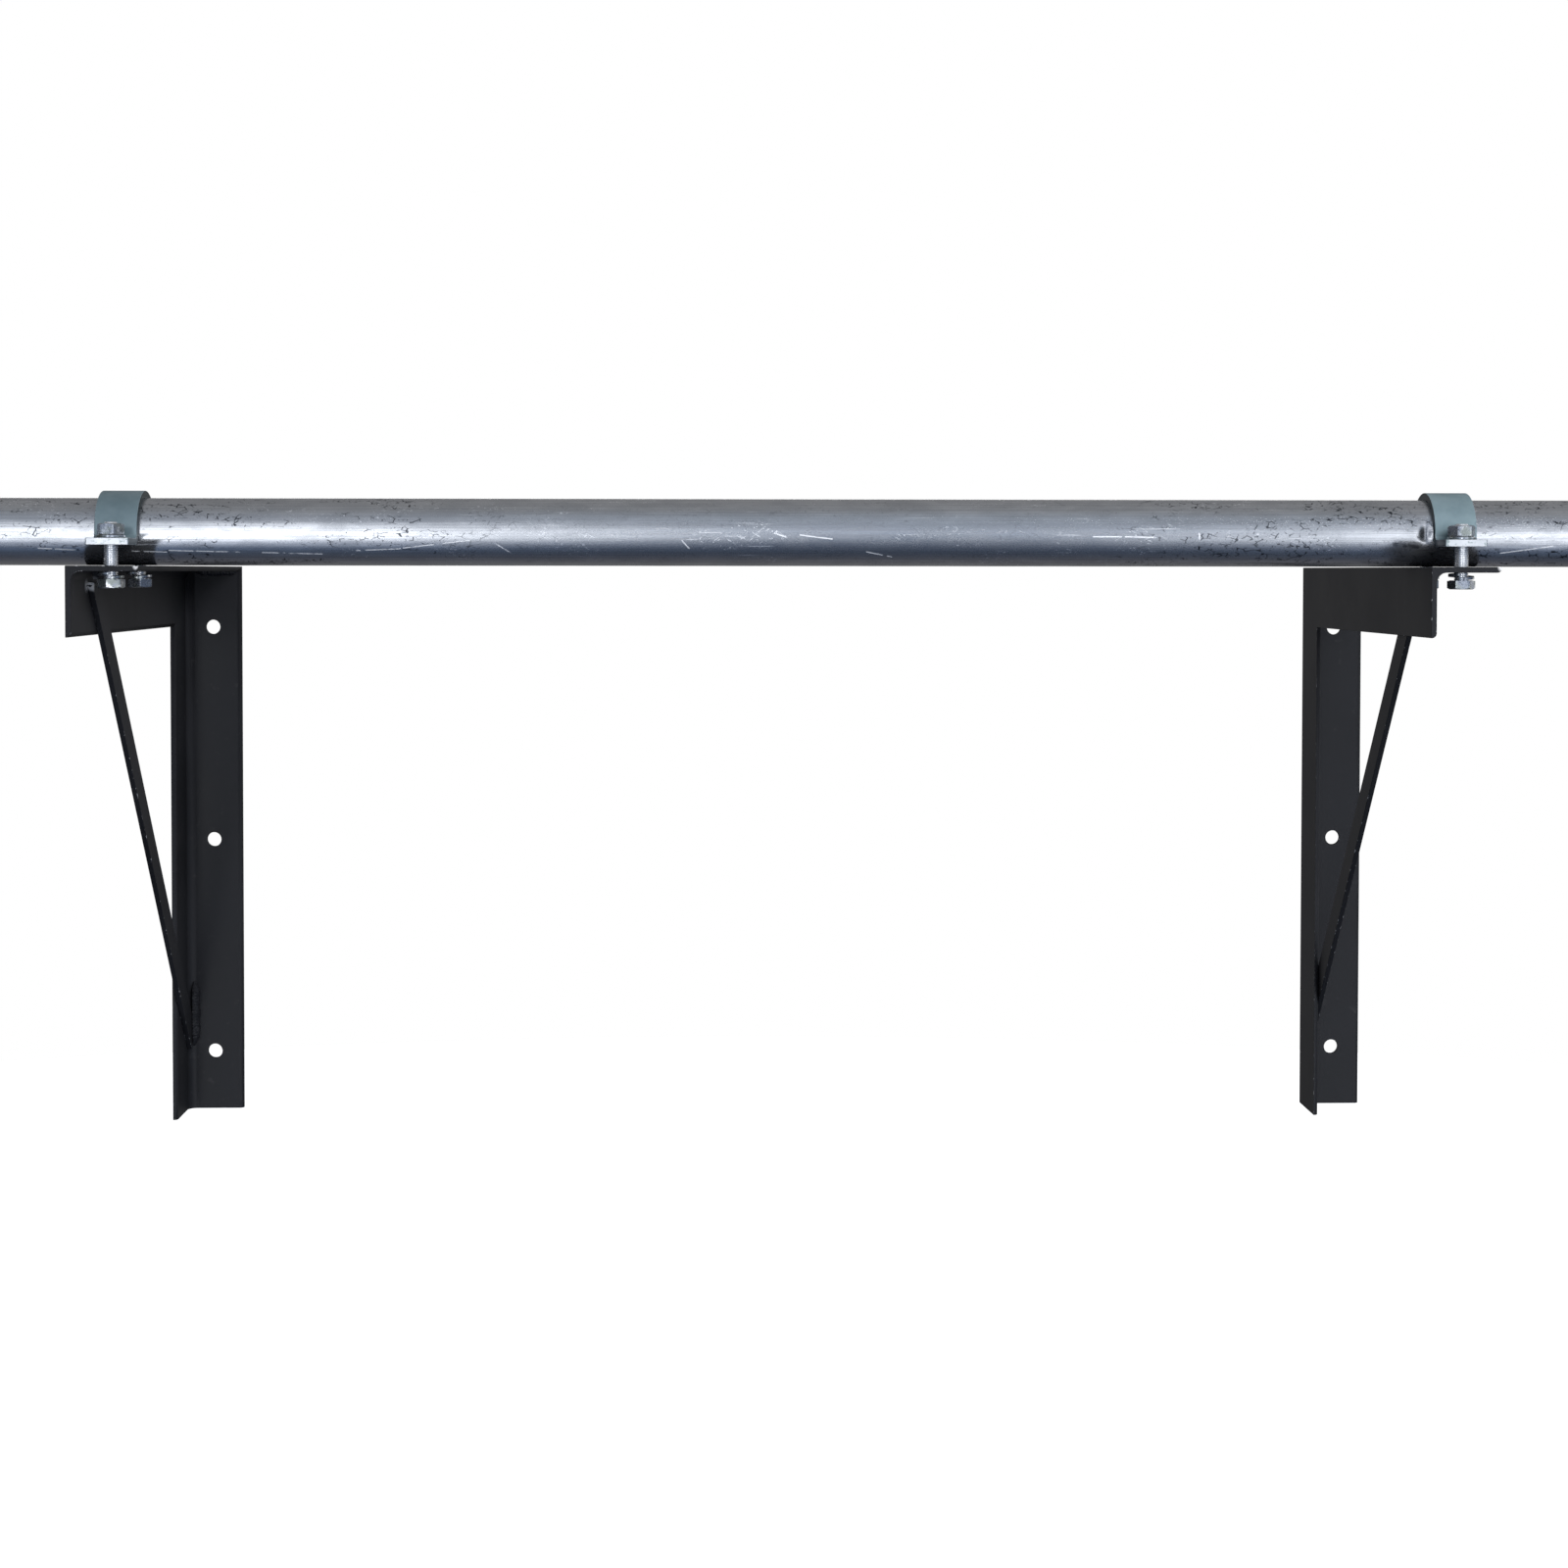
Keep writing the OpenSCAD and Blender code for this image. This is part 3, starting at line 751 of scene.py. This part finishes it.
def build_nut(side, place, turn_deg):
    """A hexagon nut, chamfered at both ends and countersunk at the bore."""
    node = f"nut_{side}_{place}"
    low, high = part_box(node)
    height = high.z - low.z
    centre = (low + high) / 2
    outline = hex_outline(turn_deg)
    sink = 0.7 * MM
    bm = bmesh.new()
    rings = [
        ring_at(bm, scaled_to(outline, BORE_R), lambda x, y: height - sink),
        ring_at(bm, scaled_to(outline, BORE_R + sink), lambda x, y: height),
        ring_at(bm, scaled_to(outline, CHAMFER_R * 0.98), lambda x, y: height),
        ring_at(bm, scaled_to(outline, CHAMFER_R), lambda x, y: height - 0.05 * MM),
        ring_at(bm, outline, lambda x, y: height - 0.05 * MM - chamfer_drop(x, y, CHAMFER_R)),
        ring_at(bm, outline, lambda x, y: 0.05 * MM + chamfer_drop(x, y, CHAMFER_R)),
        ring_at(bm, scaled_to(outline, CHAMFER_R), lambda x, y: 0.05 * MM),
        ring_at(bm, scaled_to(outline, CHAMFER_R * 0.98), lambda x, y: 0.0),
        ring_at(bm, scaled_to(outline, BORE_R + sink), lambda x, y: 0.0),
        ring_at(bm, scaled_to(outline, BORE_R), lambda x, y: sink),
    ]
    grid_faces(bm, rings + rings[:1])
    bmesh.ops.translate(bm, verts=bm.verts, vec=Vector((centre.x, centre.y, low.z)))
    new_piece(f"{node}_steel", bm, node, BRIGHT_ZINC, [node], sharp_deg=28)


def rounded_section(inner, outer, low, high, edge):
    """A closed (radius, height) rectangle with rounded corners."""
    right, left = outer - edge, inner + edge
    top, bottom = high - edge, low + edge
    return (arc(right, bottom, edge, -90, 0, 3) + arc(right, top, edge, 0, 90, 3)
            + arc(left, top, edge, 90, 180, 3) + arc(left, bottom, edge, 180, 270, 3))


def build_flat_washer(side, place):
    """A flat washer on the strap's ear."""
    node = f"flat_washer_{side}_{place}"
    low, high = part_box(node)
    bm = bmesh.new()
    hole_r = 5.25 * MM
    section = rounded_section(hole_r, (high.x - low.x) / 2, 0.0, high.z - low.z, 0.35 * MM)
    centre = (low + high) / 2
    lathe(bm, section, 72, Matrix.Translation(Vector((centre.x, centre.y, low.z))))
    new_piece(f"{node}_steel", bm, f"clamp_{side}", BRIGHT_ZINC, [node])


def build_spring_washer(side, place, split_deg):
    """A split spring washer: a flat coil of just under one turn, cut at split_deg."""
    node = f"spring_washer_{side}_{place}"
    low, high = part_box(node)
    centre_x, centre_y = (low.x + high.x) / 2, (low.y + high.y) / 2
    outer = (high.x - low.x) / 2
    section_h = 2.2 * MM
    rise = (high.z - low.z) - section_h
    section = rounded_section(outer - 3.8 * MM, outer, 0.0, section_h, 0.3 * MM)
    steps = 96
    sweep = math.radians(346)
    bm = bmesh.new()
    rings = []
    for i in range(steps + 1):
        a = math.radians(split_deg) + sweep * i / steps
        lift = rise * i / steps
        rings.append([bm.verts.new((centre_x + r * math.cos(a), centre_y + r * math.sin(a),
                                    low.z + z + lift)) for r, z in section])
    grid_faces(bm, rings)
    bm.faces.new(rings[0])
    bm.faces.new(list(reversed(rings[-1])))
    new_piece(f"{node}_steel", bm, f"bracket_{side}", BRIGHT_ZINC, [node])


# How far each head and nut is turned, and where each spring washer is split, in degrees.
HEAD_TURN = {("left", "front"): 23, ("left", "back"): 47, ("right", "front"): 50, ("right", "back"): 12}
NUT_TURN = {("left", "front"): 54, ("left", "back"): 8, ("right", "front"): 58, ("right", "back"): 31}
SPLIT_AT = {("left", "front"): 285, ("left", "back"): 250, ("right", "front"): 253, ("right", "back"): 290}


def build_fasteners():
    """Bolt, nut and washers at each of the four places."""
    for side in SIDES:
        for place in PLACES:
            key = (side, place)
            build_bolt(side, place, HEAD_TURN[key])
            build_nut(side, place, NUT_TURN[key])
            build_flat_washer(side, place)
            build_spring_washer(side, place, SPLIT_AT[key])


# ---------------------------------------------------------------- stage, light and camera

def stage_material(name, colour, glow):
    """A matt surface with some glow of its own, in both materials of the stage."""
    surface = Surface(name)
    surface.set("Base Color", (*colour, 1))
    surface.set("Roughness", 1.0)
    surface.set("Specular IOR Level", 0.0)
    surface.set("Emission Color", (1, 1, 1, 1))
    surface.set("Emission Strength", glow)
    return surface


def fade_out(surface, near, far, glow):
    """Raises the glow of a floor to that of the white backdrop between two distances from its centre."""
    distance = surface.vector("LENGTH", surface.coords, output="Value")
    surface.link(surface.ramp(distance, near, far, glow, 1.0), surface.shader.inputs["Emission Strength"])


def only_seen(obj):
    """The camera sees obj, but it neither lights the object nor shows in its reflections."""
    obj.visible_diffuse = False
    obj.visible_glossy = False
    obj.visible_transmission = False


def build_stage():
    """A pale floor well below the object, and a white sphere round everything."""
    floor_drop, floor_radius, sky_radius = 2.6, 14, 15
    floor_glow = 0.80
    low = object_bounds()[0]
    bpy.ops.mesh.primitive_circle_add(vertices=96, radius=floor_radius, fill_type="NGON",
                                      location=(0, 0, low.z - floor_drop))
    floor = bpy.context.object
    floor.name = "floor"
    pale = stage_material("floor_pale", (0.80, 0.80, 0.80), floor_glow)
    fade_out(pale, 1.0, 5.0, floor_glow)
    floor.data.materials.append(pale.material)
    only_seen(floor)
    bpy.ops.mesh.primitive_uv_sphere_add(segments=64, ring_count=32, radius=sky_radius, location=(0, 0, 0))
    sky = bpy.context.object
    sky.name = "backdrop"
    sky.data.materials.append(stage_material("backdrop_white", (0.0, 0.0, 0.0), 1.0).material)
    sky.visible_shadow = False
    only_seen(sky)


# Colours of the surroundings by angle round the bar's axis, as (degrees, colour): 0 is level in front of
# the bar and 90 is overhead.
BELOW = ((-180, (0.22, 0.22, 0.23)), (-140, (0.16, 0.16, 0.165)), (-114, (0.13, 0.13, 0.145)),
         (-92, (0.065, 0.072, 0.095)))
ABOVE = ((90, (0.27, 0.275, 0.285)), (120, (0.255, 0.255, 0.26)), (150, (0.24, 0.24, 0.245)),
         (180, (0.22, 0.22, 0.225)))
BETWEEN_BOXES = ((-70, (0.025, 0.040, 0.07)), (-50, (0.035, 0.055, 0.10)), (-30, (0.06, 0.09, 0.15)),
                 (-12, (0.13, 0.18, 0.27)), (3, (0.31, 0.38, 0.50)), (20, (0.25, 0.30, 0.38)),
                 (45, (0.37, 0.42, 0.49)))
IN_A_BOX = ((-70, (0.06, 0.08, 0.12)), (-50, (0.14, 0.20, 0.32)), (-30, (1.15, 1.25, 1.45)),
            (-11, (3.9, 4.0, 4.15)), (8, (3.8, 3.85, 3.95)), (27, (1.75, 1.80, 1.90)),
            (50, (0.42, 0.44, 0.49)))


def colour_by_angle(n, turn, stops):
    """Colour from (degrees, colour) stops, where turn runs from 0 at -180 degrees to 1 at 180."""
    node = n.tree.nodes.new("ShaderNodeValToRGB")
    node.color_ramp.interpolation = "EASE"
    elements = node.color_ramp.elements
    elements.remove(elements[1])
    for index, (degrees, colour) in enumerate(stops):
        place = (degrees + 180) / 360
        element = elements[0] if index == 0 else elements.new(place)
        element.position = place
        element.color = (*colour, 1)
    n.link(turn, node.inputs["Fac"])
    return node.outputs["Color"]


def build_world():
    """Soft studio surroundings, coloured by the angle round the bar's axis.

    Two wide soft boxes stand left and right of the camera, and the space between them is dimmer."""
    right_share = 0.66
    world = bpy.data.worlds.new("studio")
    bpy.context.scene.world = world
    world.use_nodes = True
    n = Nodes(world.node_tree, "Generated")
    axes = n.axes()
    x = axes["X"]
    left_box = n.math("MULTIPLY", n.ramp(x, -0.03, -0.19), n.ramp(x, -0.36, -0.21))
    right_box = n.math("MULTIPLY", n.ramp(x, 0.18, 0.35), n.ramp(x, 0.66, 0.44))
    boxes = n.math("ADD", left_box, n.math("MULTIPLY", right_box, right_share))
    angle = n.math("ARCTAN2", axes["Z"], n.math("MULTIPLY", axes["Y"], -1.0))
    lowering = n.math("ADD", n.math("MULTIPLY", left_box, math.radians(9)),
                      n.math("MULTIPLY", right_box, math.radians(16)))
    lowered = n.math("ADD", angle, lowering)
    turn = n.math("ADD", n.math("MULTIPLY", lowered, 0.5 / math.pi), 0.5)
    between = colour_by_angle(n, turn, BELOW + BETWEEN_BOXES + ABOVE)
    box = colour_by_angle(n, turn, BELOW + IN_A_BOX + ABOVE)
    colour = n.mix(boxes, between, box)
    colour = n.mix(n.ramp(x, -0.55, -0.95), colour, (0.03, 0.03, 0.035))
    background = world.node_tree.nodes["Background"]
    n.link(colour, background.inputs["Color"])
    background.inputs["Strength"].default_value = 1.0


def area_light(name, location, target, size, power):
    """A rectangular light at location that faces target."""
    data = bpy.data.lights.new(name, "AREA")
    data.shape = "RECTANGLE"
    data.size, data.size_y = size
    data.energy = power
    obj = bpy.data.objects.new(name, data)
    bpy.context.scene.collection.objects.link(obj)
    obj.location = location
    obj.rotation_euler = (Vector(target) - Vector(location)).to_track_quat("-Z", "Y").to_euler()
    return obj


def build_lights():
    """A soft key from the right, two soft boxes behind, and a strip behind that only the tube picks up."""
    low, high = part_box("bar_tube")
    bar = (low + high) / 2
    side = area_light("right_soft", (1.1, bar.y - 1.3, bar.z + 1.0), (0.45, bar.y, bar.z - 0.1),
                      (0.9, 0.9), 36)
    side.visible_glossy = False
    for name, x, power in (("back_left", -2.6, 14), ("back_right", 2.6, 5)):
        box = area_light(name, (x, bar.y + 1.4, bar.z + 0.5), (0.0, bar.y, bar.z - 0.2), (1.4, 1.6), power)
        box.visible_camera = False
    strip = area_light("back_strip", (0.0, bar.y + 3.2, bar.z + 0.15), (0.0, bar.y, bar.z), (3.2, 0.7), 22)
    strip.visible_camera = False
    receivers = bpy.data.collections.new("tube")
    receivers.objects.link(bpy.data.objects["bar_tube_steel"])
    strip.light_linking.receiver_collection = receivers


def build_camera():
    """The photo's camera. Its place, aim and lens come from matching the object's edges in the photo."""
    across, back, below_arm_top = -0.0523, -2.1008, 3.05 * MM
    pitch, yaw, roll = 0.0279, 0.0254, 0.0011
    data = bpy.data.cameras.new("camera")
    data.sensor_width = 36
    data.lens = 56.67
    data.shift_x = 0.0039
    data.shift_y = -0.0921
    obj = bpy.data.objects.new("camera", data)
    bpy.context.scene.collection.objects.link(obj)
    arm_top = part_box("arm_left")[1].z
    obj.location = (across, back, arm_top - below_arm_top)
    turn = (Matrix.Rotation(-yaw, 3, "Z") @ Matrix.Rotation(math.pi / 2 - pitch, 3, "X")
            @ Matrix.Rotation(roll, 3, "Z"))
    obj.rotation_euler = turn.to_euler()
    bpy.context.scene.camera = obj


build_brackets()
build_straps()
build_welds()
build_plugs(*build_bar())
build_fasteners()
build_world()
build_lights()
build_stage()
build_camera()
bpy.context.scene.view_settings.view_transform = "Standard"

bpy.context.view_layer.update()
